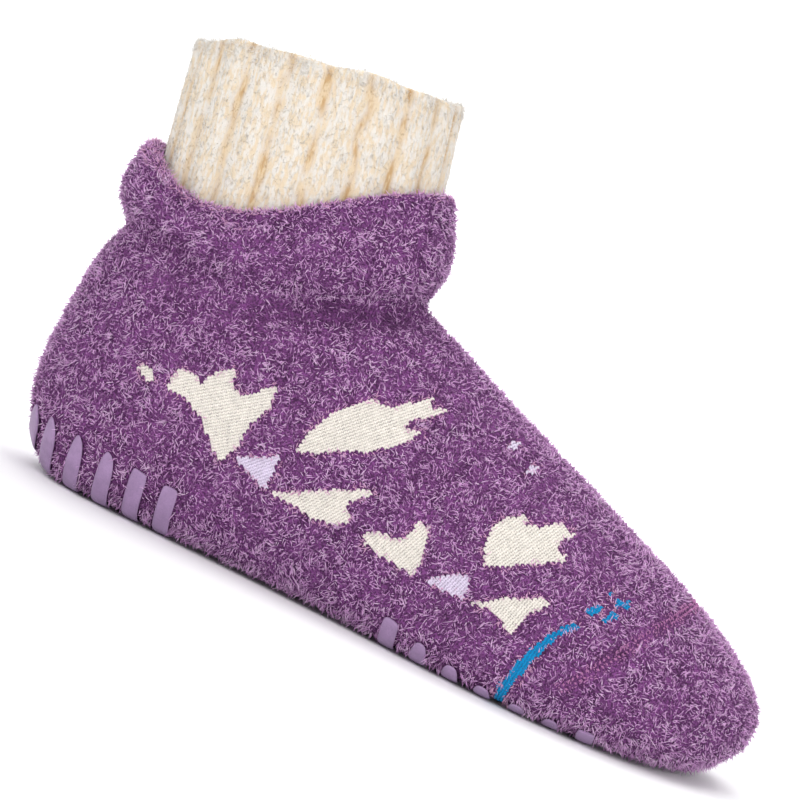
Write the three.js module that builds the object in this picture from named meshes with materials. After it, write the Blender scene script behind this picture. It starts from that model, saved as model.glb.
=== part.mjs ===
// A plush ankle slipper sock: one hollow knitted body for foot, heel and slouched leg, a ribbed cuff
// tucked into its collar, and rubbery grip bars under heel and ball.
// Millimetres. +X runs from heel to toe, +Z is up, +Y is the inner side of a right foot.
// The origin is on the floor under the middle of the foot's length.
import * as THREE from "three";

// Foot
const FOOT_LENGTH = 240;
const BALL_WIDTH = 96;
const HEEL_WIDTH = 74;
const KNIT_WALL = 3;

// Leg: its axis crosses the ankle plane here, measured from the back of the heel and from the floor
const ANKLE_SETBACK = 54.5;
const ANKLE_HEIGHT = 86;
const SHAFT_HEIGHT = 60;
const SHAFT_LEAN = 10;

// Cuff: outer size over the rib crests at the rim, and what it flares by down to the ankle plane
const CUFF_DEPTH = 84;
const CUFF_WIDTH = 64;
const CUFF_FLARE = 3;
const CUFF_WALL = 3.8;
const RIB_COUNT = 20;
const RIB_DEPTH = 1.5;
const CUFF_TUCK = 8;

// Collar lip of the body: its mean drop below the rim, its rounding and the wall it gains at the sides,
// and the slack roll and crease under it
const LIP_DROP = 37.5;
const LIP_ROUND = 1.6;
const LIP_EXTRA = 0.5;
const SLACK_FRONT = 4;
const SLACK_SIDE = 5.5;
const SLACK_BACK = 7;
const ROLL_PROUD = 2.2;
const CREASE_DROP = 64.5;
const CREASE_DEPTH = 3;
const CREASE_WIDTH = 5.5;

// Grip bars
const HEEL_GRIPS = 6;
const BALL_GRIPS = 7;
const GRIP_WIDTH = 5.5;
const GRIP_PITCH = 10.4;
const GRIP_THICKNESS = 1;
const HEEL_GRIP_START = 23;
const BALL_GRIP_START = 150;
const HEEL_GRIP_LENGTH = 84;
const BALL_GRIP_LENGTH = 86;
const GRIP_RISE = 17;
const GRIP_UPRIGHT = 4;
const GRIP_END_SHARE = 0.6;

// Curved pieces meet this far apart
const CLEARANCE = 0.3;

// How round the sole's edge is where the plush flattens on the floor
const FLOOR_ROUND = 3.5;

// Facets: points round the body and along one rib, and steps along each stretch of the body
const RING_POINTS = 40;
const RIB_POINTS = 5;
const LEG_STEPS = 9;
const ANKLE_STEPS = 6;
const HEEL_STEPS = 5;
const FOOT_STEPS = 15;
const TOE_STEPS = 8;
const CUFF_STEPS = 5;
const CUFF_INNER_STEPS = 3;

const SOLE_HEIGHT = GRIP_THICKNESS + CLEARANCE;
const LEAN = THREE.MathUtils.degToRad(SHAFT_LEAN);
const DOWN = new THREE.Vector3(Math.sin(LEAN), 0, -Math.cos(LEAN));
const FORWARD = new THREE.Vector3(Math.cos(LEAN), 0, Math.sin(LEAN));
const SIDE = new THREE.Vector3(0, 1, 0);
const ANKLE = new THREE.Vector3(ANKLE_SETBACK - FOOT_LENGTH / 2, 0, ANKLE_HEIGHT);
const RIM = ANKLE.clone().addScaledVector(DOWN, -SHAFT_HEIGHT);

// Waves of the collar lip and of the crease around the leg, as shares of their mean drop:
// wave 1 tips the line to the back, wave 2 dips it at both sides, wave 3 moves the dip to the rear.
const WAVE_COLUMNS = ["lip", "crease"];
const WAVE_ROWS = [
  [-0.153, 0.015],
  [-0.195, -0.065],
  [0.08, 0.0],
];

// Sections from the ankle plane round the heel and along the foot to the toe.
// back, fore: where the section's low and high ends lie along the foot, from 0 at the heel to 1 at the toe;
//   fore counts from the front of the ankle plane
// rise, top: their heights, as shares of the heights at the ankle plane
// outer, inner: half widths to either side, as shares of the local width
// belly: how far the widest point moves to the high end; blunt: 1 is round, less is flatter below
const SECTION_COLUMNS = ["back", "fore", "rise", "top", "outer", "inner", "belly", "blunt"];
const SECTION_ROWS = [
  [0.0, 0.0, 1.0, 1.0, 0.5, 0.5, 0.0, 1.0],
  [-0.002, 0.022, 0.68, 0.977, 0.505, 0.505, -0.03, 0.96],
  [0.0, 0.044, 0.36, 0.957, 0.51, 0.51, -0.06, 0.9],
  [0.03, 0.067, 0.12, 0.936, 0.515, 0.51, -0.09, 0.84],
  [0.095, 0.098, -0.05, 0.912, 0.515, 0.505, -0.1, 0.8],
  [0.18, 0.14, -0.065, 0.884, 0.51, 0.495, -0.1, 0.78],
  [0.28, 0.195, -0.055, 0.85, 0.505, 0.475, -0.12, 0.78],
  [0.385, 0.262, -0.045, 0.81, 0.49, 0.45, -0.16, 0.76],
  [0.495, 0.348, -0.05, 0.76, 0.48, 0.435, -0.2, 0.74],
  [0.6, 0.455, -0.065, 0.697, 0.49, 0.455, -0.24, 0.72],
  [0.7, 0.572, -0.075, 0.625, 0.5, 0.485, -0.26, 0.72],
  [0.79, 0.69, -0.07, 0.552, 0.475, 0.5, -0.24, 0.74],
  [0.868, 0.795, -0.06, 0.492, 0.435, 0.495, -0.2, 0.78],
  [0.925, 0.874, -0.05, 0.456, 0.395, 0.49, -0.16, 0.84],
  [0.968, 0.944, -0.045, 0.438, 0.355, 0.49, -0.1, 0.9],
  [1.0, 1.0, -0.042, 0.43, 0.31, 0.49, 0.0, 1.0],
];
const HEEL_TOP_ROW = 1;
const HEEL_LOW_ROW = 3;
const HEEL_ROW = 4;
const BALL_ROW = 10;
const TOE_ROW = SECTION_ROWS.length - 1;
const CAP_ROW = TOE_ROW - 3;
const TIP_ROW = TOE_ROW - 0.08;

// At rows up to here the lining repeats each ring of the lip, and every other ring below it
const LIP_ROW = -0.6;

// Share of a row, or of a radian, by which lengths and normals on the body are measured,
// and the tries in which a row is sought
const STEP = 0.01;
const SEEK_TRIES = 6;

// The toe closes over the last part of the length like a blunt ellipse
const TOE_CAP_START = 0.8;
const TOE_CAP_BLUNT = 2.6;

const { clamp, lerp, smoothstep } = THREE.MathUtils;

function column(columns, rows, name, at) {
  const index = columns.indexOf(name);
  const value = (i) => rows[clamp(i, 0, rows.length - 1)][index];
  const i = clamp(Math.floor(at), 0, rows.length - 2);
  const t = at - i;
  const [a, b, c, d] = [value(i - 1), value(i), value(i + 1), value(i + 2)];
  return b + 0.5 * t * (c - a + t * (2 * a - 5 * b + 4 * c - d + t * (3 * (b - c) + d - a)));
}

const section = (name, at) => column(SECTION_COLUMNS, SECTION_ROWS, name, at);

// A value at the front (angle 0), the side and the back (angle PI) of the leg, smooth in between
function around(front, side, back, angle) {
  const c = Math.cos(angle);
  return side + 0.5 * (front - back) * c + (0.5 * (front + back) - side) * c * c;
}

// Drop of the lip or the crease below the rim plane at an angle round the leg
function drop(mean, name, angle) {
  const index = WAVE_COLUMNS.indexOf(name);
  const share = WAVE_ROWS.reduce((sum, row, i) => sum + row[index] * Math.cos((i + 1) * angle), 1);
  return mean * share;
}

const lipDrop = (angle) => drop(LIP_DROP, "lip", angle);
const creaseDrop = (angle) => drop(CREASE_DROP, "crease", angle);
const flare = (down) => (0.5 * CUFF_FLARE * down) / SHAFT_HEIGHT;
const slack = (angle) => around(SLACK_FRONT, SLACK_SIDE, SLACK_BACK, angle);
const lipWall = (angle) => around(KNIT_WALL, KNIT_WALL + LIP_EXTRA, 2 * KNIT_WALL, angle);

// A point on the leg: down along the shaft from the rim plane, and out from the cuff's rib crests
function legPoint(down, angle, out) {
  const grow = flare(down) + out;
  return RIM.clone()
    .addScaledVector(DOWN, down)
    .addScaledVector(FORWARD, (CUFF_DEPTH / 2 + grow) * Math.cos(angle))
    .addScaledVector(SIDE, (CUFF_WIDTH / 2 + grow) * Math.sin(angle));
}

const ANKLE_FRONT = legPoint(SHAFT_HEIGHT, 0, CLEARANCE + SLACK_FRONT);
const ANKLE_BACK = legPoint(SHAFT_HEIGHT, Math.PI, CLEARANCE + SLACK_BACK);
const LEG_WIDTH = 2 * legPoint(SHAFT_HEIGHT, Math.PI / 2, CLEARANCE + SLACK_SIDE).y;

// Low end, high end and half widths of the section at a row of the table
function sectionEnds(row) {
  const toe = FOOT_LENGTH / 2;
  const heel = -toe;
  const rise = section("rise", row);
  const low = new THREE.Vector3(heel + section("back", row) * FOOT_LENGTH, 0, rise * ANKLE_BACK.z);
  low.x += (ANKLE_BACK.x - heel) * Math.max(0, rise) ** 2;
  const high = new THREE.Vector3(
    lerp(ANKLE_FRONT.x, toe, section("fore", row)),
    0,
    section("top", row) * ANKLE_FRONT.z,
  );
  const heelShare = smoothstep(row, 0, HEEL_ROW);
  const ballShare = smoothstep(row, HEEL_ROW, BALL_ROW);
  const width = lerp(lerp(LEG_WIDTH, HEEL_WIDTH, heelShare), BALL_WIDTH, ballShare);
  return { low, high, outer: width * section("outer", row), inner: width * section("inner", row) };
}

// The toe cap's share of the full section at a place along the foot
function toeCap(x) {
  const along = (x / FOOT_LENGTH + 0.5 - TOE_CAP_START) / (1 - TOE_CAP_START);
  return Math.sqrt(Math.max(0, 1 - clamp(along, 0, 1) ** TOE_CAP_BLUNT));
}

function onFloor(point) {
  const t = (point.z - SOLE_HEIGHT) / FLOOR_ROUND;
  if (t < 1) point.z = SOLE_HEIGHT + (FLOOR_ROUND * Math.max(0, t + 1) ** 2) / 4;
  return point;
}

// The slack roll swells between lip and crease, and the crease pulls in
function swell(point, angle) {
  const down = point.clone().sub(RIM).dot(DOWN);
  const lip = lipDrop(angle);
  const crease = creaseDrop(angle);
  const along = clamp((down - lip) / (crease - lip), 0, 1);
  const roll = ROLL_PROUD * Math.sin(Math.PI * along) ** 2;
  return roll - CREASE_DEPTH * Math.exp(-(((down - crease) / CREASE_WIDTH) ** 2));
}

// Outer surface of the body. At rows below 0 it climbs the leg, with -1 at the lip.
function bodyPoint(row, angle) {
  if (row < 0) {
    const down = lerp(SHAFT_HEIGHT, lipDrop(angle) + LIP_ROUND, -row);
    const out = lerp(lipWall(angle), slack(angle), smoothstep(1 + row, 0, 0.6)) + CLEARANCE;
    return legPoint(down, angle, out + swell(legPoint(down, angle, out), angle));
  }
  const { low, high, outer, inner } = sectionEnds(row);
  const middle = low.clone().lerp(high, 0.5);
  const half = high.clone().sub(low).multiplyScalar(0.5);
  const cap = toeCap(middle.x);
  const c = Math.cos(angle);
  const s = Math.sin(angle);
  const blunt = c < 0 ? section("blunt", row) : lerp(1, section("blunt", row), 0.4);
  const along = (c + section("belly", row) * s * s) * cap;
  const across = ((outer + inner) / 2) * Math.sign(s) * Math.abs(s) ** blunt * cap;
  const point = middle.addScaledVector(half, along);
  point.y = (inner - outer) / 2 + across;
  const outward = half.clone().normalize().multiplyScalar(c).addScaledVector(SIDE, s);
  return onFloor(point.addScaledVector(outward, swell(point, angle)));
}

function bodyNormal(row, angle) {
  const r = Math.min(row, TOE_ROW - STEP);
  const alongRow = bodyPoint(r + STEP, angle).sub(bodyPoint(r - STEP, angle));
  const alongAngle = bodyPoint(r, angle + STEP).sub(bodyPoint(r, angle - STEP));
  return alongRow.cross(alongAngle).normalize();
}

// Inner face: the outer one moved in by the wall, which hugs the cuff at the collar
function liningPoint(row, angle) {
  const point = bodyPoint(row, angle);
  if (row >= 0) return point.addScaledVector(bodyNormal(row, angle), -KNIT_WALL);
  const wall = lerp(lipWall(angle), KNIT_WALL, smoothstep(1 + row, 0.2, 0.8));
  const outward = FORWARD.clone().multiplyScalar(Math.cos(angle)).addScaledVector(SIDE, Math.sin(angle));
  return point.addScaledVector(outward, -wall);
}

function ring(count, pointAt) {
  return Array.from({ length: count }, (_, i) => pointAt((2 * Math.PI * i) / count));
}

// A closed surface through rings of equal count, from one pole or open end to the other.
// With no poles the last ring joins the first.
function loft(rings, firstPole, lastPole) {
  const count = rings[0].length;
  const points = rings.flat();
  const faces = [];
  const quad = (a, b, c, d) => {
    const short = points[a].distanceTo(points[c]) <= points[b].distanceTo(points[d]);
    faces.push(...(short ? [a, b, c, a, c, d] : [a, b, d, b, c, d]));
  };
  const last = rings.length - 1;
  const strips = firstPole ? last : last + 1;
  for (let r = 0; r < strips; r += 1) {
    const next = (r + 1) % rings.length;
    for (let i = 0; i < count; i += 1) {
      const j = (i + 1) % count;
      quad(r * count + i, r * count + j, next * count + j, next * count + i);
    }
  }
  const cap = (pole, ringIndex, turn) => {
    const tip = points.push(pole) - 1;
    for (let i = 0; i < count; i += 1) {
      const edge = [ringIndex * count + i, ringIndex * count + ((i + 1) % count)];
      if (turn) edge.reverse();
      faces.push(edge[0], edge[1], tip);
    }
  };
  if (firstPole) {
    cap(firstPole, 0, true);
    cap(lastPole, last, false);
  }
  return new THREE.BufferGeometry().setFromPoints(points).setIndex(faces);
}

// Evenly spaced rows, from and to included
function spread(from, to, steps) {
  return Array.from({ length: steps + 1 }, (_, i) => lerp(from, to, i / steps));
}

function bodyGeometry() {
  const outside = [
    ...spread(-1, 0, LEG_STEPS),
    ...spread(0, HEEL_TOP_ROW, ANKLE_STEPS).slice(1),
    ...spread(HEEL_TOP_ROW, HEEL_LOW_ROW, HEEL_STEPS).slice(1),
    ...spread(HEEL_LOW_ROW, HEEL_ROW, HEEL_STEPS).slice(1),
    ...spread(HEEL_ROW, CAP_ROW, FOOT_STEPS).slice(1),
    ...spread(CAP_ROW, TOE_ROW, TOE_STEPS).slice(1, -1),
    TIP_ROW,
  ];
  const inside = outside.filter((row, i) => row <= LIP_ROW || i % 2 === 0);
  const lip = ring(RING_POINTS, (angle) =>
    legPoint(lipDrop(angle), angle, CLEARANCE + lipWall(angle) / 2),
  );
  const rings = [
    ...outside.map((row) => ring(RING_POINTS, (angle) => bodyPoint(row, angle))).reverse(),
    lip,
    ...inside.map((row) => ring(RING_POINTS, (angle) => liningPoint(row, angle))),
  ];
  const tip = bodyPoint(TOE_ROW, 0);
  const lining = tip.clone();
  lining.x -= KNIT_WALL;
  return loft(rings, tip, lining);
}

// Outer face of the cuff, with its ribs
function cuffPoint(down, angle) {
  const wave = 0.5 - 0.5 * Math.cos(RIB_COUNT * angle);
  return legPoint(down, angle, -RIB_DEPTH * wave ** 1.5);
}

function cuffGeometry() {
  const count = RIB_COUNT * RIB_POINTS;
  const half = CUFF_WALL / 2;
  const bottom = (angle) => lipDrop(angle) + CUFF_TUCK;
  const outside = spread(0, 1, CUFF_STEPS).map((share) =>
    ring(count, (angle) => cuffPoint(lerp(half, bottom(angle), share), angle)),
  );
  const crownPoint = (angle) => legPoint(0, angle, -half);
  const shoulder = ring(count, (angle) => cuffPoint(0.3 * half, angle).lerp(crownPoint(angle), 0.35));
  const crown = ring(count, crownPoint);
  const inside = spread(0, 1, CUFF_INNER_STEPS).map((share) =>
    ring(count, (angle) => legPoint(lerp(half, bottom(angle), share), angle, -CUFF_WALL)),
  );
  return loft([...outside.reverse(), shoulder, crown, ...inside]);
}

// Row of the section whose low end lies a given length along the sole from the back of the heel
function rowAlongSole(length) {
  let row = HEEL_ROW / 2;
  let travelled = 0;
  while (travelled < length && row < TOE_ROW) {
    travelled += onFloor(sectionEnds(row).low).distanceTo(onFloor(sectionEnds(row + STEP).low));
    row += STEP;
  }
  return row;
}

// Where a bar crosses the middle of the sole, and the way it faces: along the foot, with a small
// share of the sole's own slope there
function gripPlace(length) {
  const row = rowAlongSole(length);
  const point = bodyPoint(row, Math.PI);
  const along = bodyPoint(row + STEP, Math.PI).sub(point).normalize();
  along.x += GRIP_UPRIGHT;
  return { row, point, along: along.normalize() };
}

// Row at which the body, at a ring angle, lies a given distance ahead of a bar's middle
function rowAhead({ row, point, along }, angle, ahead) {
  const reached = (at) => bodyPoint(at, angle).sub(point).dot(along);
  let found = row;
  for (let i = 0; i < SEEK_TRIES; i += 1) {
    const perRow = (reached(found + STEP) - reached(found)) / STEP;
    found = clamp(found + (ahead - reached(found)) / perRow, 0, TOE_ROW - 2 * STEP);
  }
  return found;
}

// Ring angles of a bar that lies straight across the sole and turns up its sides: the body's own
// facets, out to the bar's ends, which stay low on the heel
function gripAngles(place, length) {
  const onBar = (angle) => bodyPoint(rowAhead(place, angle, 0), angle);
  let reach = 0;
  let travelled = 0;
  while (travelled < length / 2 && onBar(Math.PI + reach).z < GRIP_RISE) {
    travelled += onBar(Math.PI + reach).distanceTo(onBar(Math.PI + reach + STEP));
    reach += STEP;
  }
  const facet = (2 * Math.PI) / RING_POINTS;
  const whole = Math.ceil(reach / facet) - 1;
  const inner = spread(-whole, whole, 2 * whole).map((i) => Math.PI + i * facet);
  return [Math.PI - reach, ...inner, Math.PI + reach];
}

function gripGeometry(start, length) {
  const place = gripPlace(start);
  const angles = gripAngles(place, length);
  const rings = angles.map((angle, i) => {
    const end = i === 0 || i === angles.length - 1;
    const half = ((end ? GRIP_END_SHARE : 1) * GRIP_WIDTH) / 2;
    const at = (row, out) => bodyPoint(row, angle).addScaledVector(bodyNormal(row, angle), out);
    const top = CLEARANCE + GRIP_THICKNESS;
    const across = [-half, 0, half].map((ahead) => rowAhead(place, angle, ahead));
    return [
      ...across.map((row) => at(row, top)),
      ...across.map((row) => at(row, CLEARANCE)).reverse(),
    ];
  });
  const centre = (points) => points[1].clone().lerp(points[4], 0.5);
  return loft(rings, centre(rings[0]), centre(rings[rings.length - 1]));
}

const finish = (name, color, roughness) =>
  new THREE.MeshStandardMaterial({ name, color, roughness, metalness: 0 });
const plush = finish("plush", 0x83578a, 0.95);
const ribbing = finish("ribbing", 0xf0e4cc, 0.95);
const rubber = finish("rubber", 0x957a9f, 0.55);

const sock = new THREE.Group();

function add(name, geometry, material) {
  const mesh = new THREE.Mesh(geometry, material);
  mesh.name = name;
  sock.add(mesh);
}

add("knit_body", bodyGeometry(), plush);
add("rib_cuff", cuffGeometry(), ribbing);
for (let i = 0; i < HEEL_GRIPS; i += 1) {
  add(`heel_grip_${i + 1}`, gripGeometry(HEEL_GRIP_START + i * GRIP_PITCH, HEEL_GRIP_LENGTH), rubber);
}
for (let i = 0; i < BALL_GRIPS; i += 1) {
  add(`ball_grip_${i + 1}`, gripGeometry(BALL_GRIP_START + i * GRIP_PITCH, BALL_GRIP_LENGTH), rubber);
}

export default sock;
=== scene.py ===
"""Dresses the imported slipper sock: knitted ground, deep pile, charted motifs, ribbed cuff and grip bars."""

import math

import bmesh
import bpy
import numpy as np
from bpy.props import FloatProperty, FloatVectorProperty, IntProperty, PointerProperty
from mathutils import Matrix, Vector, noise
from mathutils.bvhtree import BVHTree


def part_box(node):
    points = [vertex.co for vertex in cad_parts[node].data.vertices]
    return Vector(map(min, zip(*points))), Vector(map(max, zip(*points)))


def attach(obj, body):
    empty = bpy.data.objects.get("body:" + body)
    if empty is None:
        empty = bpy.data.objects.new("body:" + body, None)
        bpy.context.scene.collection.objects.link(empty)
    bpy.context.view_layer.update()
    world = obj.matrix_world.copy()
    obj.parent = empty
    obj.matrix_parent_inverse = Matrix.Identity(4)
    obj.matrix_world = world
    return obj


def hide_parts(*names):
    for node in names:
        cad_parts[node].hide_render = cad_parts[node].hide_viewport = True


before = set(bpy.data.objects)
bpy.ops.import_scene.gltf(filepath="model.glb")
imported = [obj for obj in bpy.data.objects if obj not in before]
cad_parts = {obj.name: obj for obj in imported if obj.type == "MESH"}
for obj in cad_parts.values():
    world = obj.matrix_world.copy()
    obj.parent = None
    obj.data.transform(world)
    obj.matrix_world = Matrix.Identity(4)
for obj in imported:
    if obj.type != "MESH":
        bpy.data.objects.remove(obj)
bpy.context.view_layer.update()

bl_info = {
    "name": "Plush Slipper Sock",
    "version": (1, 0, 0),
    "blender": (4, 5, 0),
    "location": "3D View > Sidebar > Sock",
    "description": "Dresses a knitted slipper sock with pile, motifs, ribbing and grips",
    "category": "Add Mesh",
}

MM = 0.001
HEEL_X = -0.12
HEEL_GRIPS = 6
BALL_GRIPS = 7

# The leg: where its axis crosses the ankle plane and the rim plane, and the cuff over its rib crests
LEG_LEAN = math.radians(10)
LEG_UP = Vector((-math.sin(LEG_LEAN), 0, math.cos(LEG_LEAN)))
LEG_FORWARD = Vector((math.cos(LEG_LEAN), 0, math.sin(LEG_LEAN)))
ANKLE = Vector((-0.0655, 0, 0.086))
RIM = ANKLE + 0.06 * LEG_UP
CUFF_HALF_DEPTH = 0.042
CUFF_HALF_WIDTH = 0.032
RIB_COUNT = 20

# The line inside leg and foot that every outer face looks away from
SPINE = [RIM, ANKLE + Vector((0, 0, -0.02)), Vector((0, 0, 0.03)), Vector((0.1, 0, 0.018))]

# Motifs charted on one side and mirrored to the other. Millimetres: x from the back of the heel,
# z from the floor, turn is how the wales run from +X in degrees, and the outline counts from the centre.
MOTIF_COLUMNS = ("yarn", "x", "z", "turn", "outline")
MOTIFS = {
    "seed": ("cream", 39, 43, -60, [(-3, 0), (-3, 2.4), (1, 1.6), (3.2, -1), (1, -1.6)]),
    "bloom": (
        "cream", 61, 43, -55,
        [
            (-15, -1), (-14, 6), (-9, 6), (-6, 4), (-4, 8), (1, 13), (3, 7), (7, 6), (9, 8),
            (14, 13), (15, 6), (12, 0), (11, -9), (8, -14), (3, -10), (-2, -5), (-8, -2),
        ],
    ),
    "high_leaf": (
        "cream", 104, 57, -45,
        [
            (-16, -16), (-15, -10), (-12, -3), (-8, 2), (-2, 7), (0, 6), (4, 7), (12, 14), (13, 11),
            (18, 13), (15, 9), (9, 5), (10, 3), (15, 4), (10, -2), (4, -7), (-5, -11), (-10, -14),
        ],
    ),
    "rear_kite": ("lilac", 81, 32, -45, [(-9, 0), (4, 6), (4, -5)]),
    "barb": (
        "cream", 102, 31, -35,
        [
            (-16, -4), (-10, -1), (-1, 4), (10, 9), (13, 9), (7, 4), (6, 2), (9, 0), (9, -2),
            (5, -4), (-1, -5), (-9, -4),
        ],
    ),
    "fork": (
        "cream", 127, 30, -25,
        [
            (-11, -2), (-7, 1), (-1, 1), (2, 4), (2, 8), (6, 8), (7, 5), (8, -1), (8, -6),
            (5, -6), (-4, -5), (-9, -4),
        ],
    ),
    "low_leaf": (
        "cream", 160, 46, -30,
        [
            (-8, -11), (-11, -5), (-11, -1), (-9, 3), (-4, 7), (-3, 4), (1, 5), (6, 9), (7, 7),
            (11, 7), (8, 4), (8, 1), (11, 1), (11, -1), (4, -5), (-6, -10),
        ],
    ),
    "front_kite": ("lilac", 146, 26, -20, [(-8, -2), (-3, 2), (3, 5), (4, 2), (5, -2), (-3, -2)]),
    "wedge": ("cream", 163, 28, -15, [(-10, -4), (-3, 1), (8, 6), (10, 5), (6, 0), (4, -7), (-3, -3)]),
    "high_dot": ("lilac", 143, 68, -40, [(-1.2, -1), (-1.2, 1), (1.2, 1), (1.2, -1)]),
    "low_dot": ("lilac", 151, 64, -40, [(-1.2, -1), (-1.2, 1), (1.2, 1), (1.2, -1)]),
}

# The stripe's middle line from the sole up over the toes, as x, z and width in the same millimetres
STRIPE = [
    (170.5, 0, 3.4), (171.5, 7, 3.4), (173, 13, 3.2), (175, 19, 2.8), (178, 26, 2.2), (182.5, 31, 1.8),
]
DASHES = [
    [(183.5, 35, 1.7), (187, 38.5, 1.5)],
    [(188, 35, 1.3), (191, 38, 1.6)],
    [(189.5, 40.5, 1.6), (193, 41.5, 1.8)],
    [(186.5, 41.5, 0.9), (187.5, 43, 0.9)],
]
STRIPE_TURN = -10

# The toe seam lies in a plane across the toe, from a low end up over the top
SEAM_LOW = (186, 13)
SEAM_TOP = (207, 44)
SEAM_SPACING = 1.35 * MM

# A face that looks down more than this lies on the sole, and places lower than these lie at its edge
SOLE_FACING = -0.95
SOLE_EDGE = 8 * MM
HEM_HEIGHT = 5 * MM

# The cuff's rim: how far it waves up and down, how deep that reaches, and the band of upright wool
RIM_WAVE = 2.4 * MM
RIM_WAVE_REACH = 25 * MM
RIM_BAND = 4 * MM

# Soft troughs (negative) and ridges in the knit: ends in the same millimetres, depth and width
CREASE_COLUMNS = ("start", "end", "side", "depth", "width")
CREASES = [
    ((106, 91), (56, 71), -1, -3.4, 4.5),
    ((102, 101), (58, 83), -1, 1.5, 6.0),
    ((20, 80), (48, 73), -1, -1.5, 4.5),
    ((104, 88), (122, 70), -1, -1.1, 5.0),
    ((98, 92), (70, 86), 1, -1.2, 4.5),
    ((26, 80), (50, 76), 1, -1.1, 4.0),
    ((150, 66), (120, 48), 1, -0.8, 6.0),
]


def linear(red, green, blue):
    """A screen colour, 0 to 255, as the linear colour that shaders take."""
    return tuple(((value / 255 + 0.055) / 1.055) ** 2.4 for value in (red, green, blue))


def colour_property(name, description, *screen):
    return FloatVectorProperty(
        name=name, description=description, subtype="COLOR", size=3, min=0, max=1, default=linear(*screen)
    )


def length_property(name, description, millimetres):
    return FloatProperty(
        name=name, description=description, default=millimetres * MM, min=0, unit="LENGTH", precision=4
    )


def count_property(name, description, count):
    return IntProperty(name=name, description=description, default=count, min=0)


class SockSizes(bpy.types.PropertyGroup):
    pile_length: length_property("Pile length", "Mean length of a fibre of the plush", 1.6)
    pile_width: length_property("Pile width", "Width of a fibre at its bend", 0.4)
    pile_tufts: length_property("Tuft size", "How far apart the pile changes its lay", 6.0)
    pile_fibres: count_property("Pile fibres", "Fibres on the whole sock", 122000)
    pile_clumps: length_property("Clump size", "How far apart fibres gather in clumps", 1.5)
    wool_length: length_property("Wool length", "Mean length of a fibre on the cuff", 1.7)
    wool_width: length_property("Wool width", "Width of a cuff fibre at its bend", 0.15)
    wool_fibres: count_property("Wool fibres", "Fibres on the cuff", 27000)
    wale: length_property("Wale", "Distance between columns of stitches", 1.2)
    course: length_property("Course", "Distance between rows of stitches", 0.9)
    seam_band: length_property("Seam band", "Half width of the short pile along the toe seam", 2.4)
    grip_grain: length_property("Grip grain", "Size of the grain in the grip bars", 0.5)


class SockColours(bpy.types.PropertyGroup):
    # Painted shade: the darkest tips, given to fibres deep in a crease where shade falls
    pile_fold_shade: colour_property("Pile fold", "Tips of fibres deep in a crease", 96, 54, 100)
    pile_shade: colour_property("Pile shade", "Tips of the darkest fibres", 160, 106, 163)
    pile: colour_property("Pile", "Tips of most fibres", 238, 178, 239)
    pile_light: colour_property("Pile light", "Tips of the lightest fibres", 253, 216, 253)
    pile_edge: colour_property("Pile edge", "Fibres that stand over a light motif", 246, 186, 226)
    # Partly painted shade: the knit's own purple, darkened as shade under the pile
    ground: colour_property("Ground", "The knit under the pile", 120, 67, 124)
    cream: colour_property("Cream", "Yarn of the motifs", 242, 236, 228)
    lilac: colour_property("Lilac", "Yarn of the pale motifs", 228, 216, 238)
    turquoise: colour_property("Turquoise", "Yarn of the toe stripe", 0, 144, 202)
    seam: colour_property("Seam", "Thread that links the toe", 182, 118, 168)
    seam_pile: colour_property("Seam pile", "Short fibres along the toe seam", 224, 156, 210)
    rib: colour_property("Rib", "Crests of the cuff", 213, 208, 201)
    rib_light: colour_property("Rib light", "Lightest wool of the cuff", 223, 219, 212)
    rib_warm: colour_property("Rib warm", "Warm streaks along the ribs", 211, 192, 163)
    # Warm tint of the grooves, painted darker as shade in them
    groove: colour_property("Groove", "Grooves between the ribs", 186, 154, 112)
    # Painted cool shade along the rim's outline
    rim: colour_property("Rim", "Cool wool along the cuff's rim", 224, 227, 235)
    grip: colour_property("Grip", "Rubbery bars", 150, 122, 160)
    backdrop: colour_property("Backdrop", "Floor and wall of the stage", 252, 252, 253)


def sizes():
    return bpy.context.scene.sock_sizes


def colours():
    return bpy.context.scene.sock_colours


def place(x, z):
    """A chart's millimetres as metres along and up the frame."""
    return HEEL_X + x * MM, z * MM


def required(name):
    obj = bpy.data.objects.get(name)
    if obj is None:
        raise RuntimeError(f"{name} has to be made first")
    return obj


def add_piece(name, mesh, material, nodes=()):
    """Links a finished mesh to the scene, riding on the sock."""
    obj = bpy.data.objects.new(name, mesh)
    bpy.context.scene.collection.objects.link(obj)
    mesh.materials.clear()
    mesh.materials.append(material)
    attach(obj, "root")
    if nodes:
        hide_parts(*nodes)
    return obj


def mesh_from(bm, name):
    mesh = bpy.data.meshes.new(name)
    bm.to_mesh(mesh)
    bm.free()
    mesh.shade_smooth()
    return mesh


def smooth_copy(node, name, levels):
    """A merged copy of a CAD node in quads, smoothed by subdivision and made real."""
    bm = bmesh.new()
    bm.from_mesh(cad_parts[node].data)
    bmesh.ops.remove_doubles(bm, verts=bm.verts, dist=1e-6)
    bmesh.ops.join_triangles(bm, faces=bm.faces, angle_face_threshold=1.2, angle_shape_threshold=1.6)
    source = bpy.data.objects.new(name + "_source", mesh_from(bm, name + "_source"))
    bpy.context.scene.collection.objects.link(source)
    subdivision = source.modifiers.new("Subdivision", "SUBSURF")
    subdivision.levels = levels
    subdivision.render_levels = levels
    depsgraph = bpy.context.evaluated_depsgraph_get()
    mesh = bpy.data.meshes.new_from_object(source.evaluated_get(depsgraph))
    mesh.name = name
    bpy.data.objects.remove(source)
    return mesh


def vertex_arrays(mesh):
    """Positions and normals of a mesh's vertices."""
    points = np.empty(len(mesh.vertices) * 3, dtype=np.float32)
    normals = np.empty_like(points)
    mesh.vertices.foreach_get("co", points)
    mesh.vertex_normals.foreach_get("vector", normals)
    return points.reshape(-1, 3).astype(float), normals.reshape(-1, 3).astype(float)


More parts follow.
